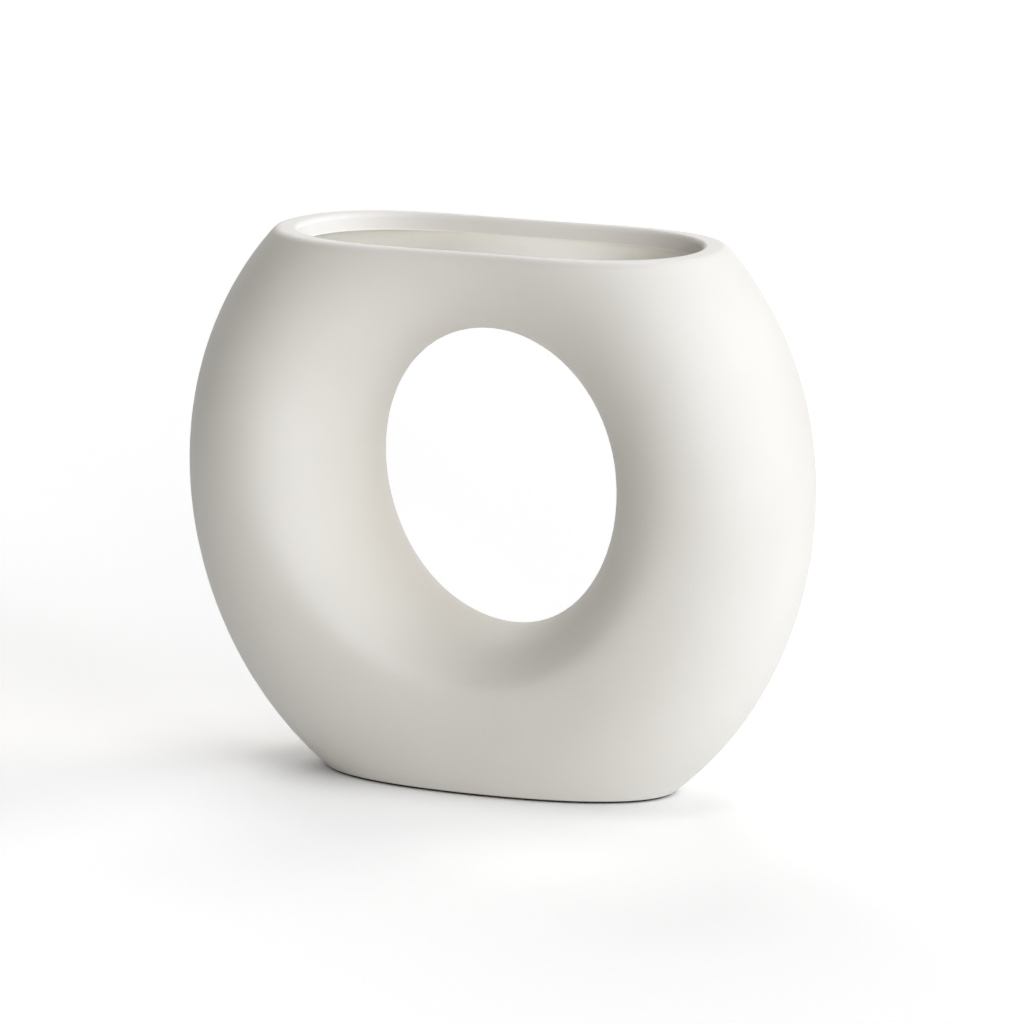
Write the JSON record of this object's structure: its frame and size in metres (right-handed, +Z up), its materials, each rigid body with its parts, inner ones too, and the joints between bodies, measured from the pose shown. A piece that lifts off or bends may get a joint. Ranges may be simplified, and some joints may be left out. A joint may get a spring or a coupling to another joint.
{
  "type": "ring vase",
  "caption": "Free-standing hollow ring vase with a round hole through it, a level slot-shaped mouth on top and a flat foot.",
  "frame": {"origin": "on the floor, under the middle of the ring", "axes": "+X along the mouth, +Y through the ring's hole towards the back, +Z up"},
  "size_m": [0.2276, 0.0808, 0.1924],
  "materials": {
    "matte_stoneware": "white stoneware with a smooth matte coat, the foot ring left bare",
    "clear_lining_glaze": "glossy creamy glaze, poured inside to make the vase hold water"
  },
  "bodies": {
    "root": {"ceramic_body": "matte_stoneware", "inside_glaze": "clear_lining_glaze"}
  },
  "joints": []
}
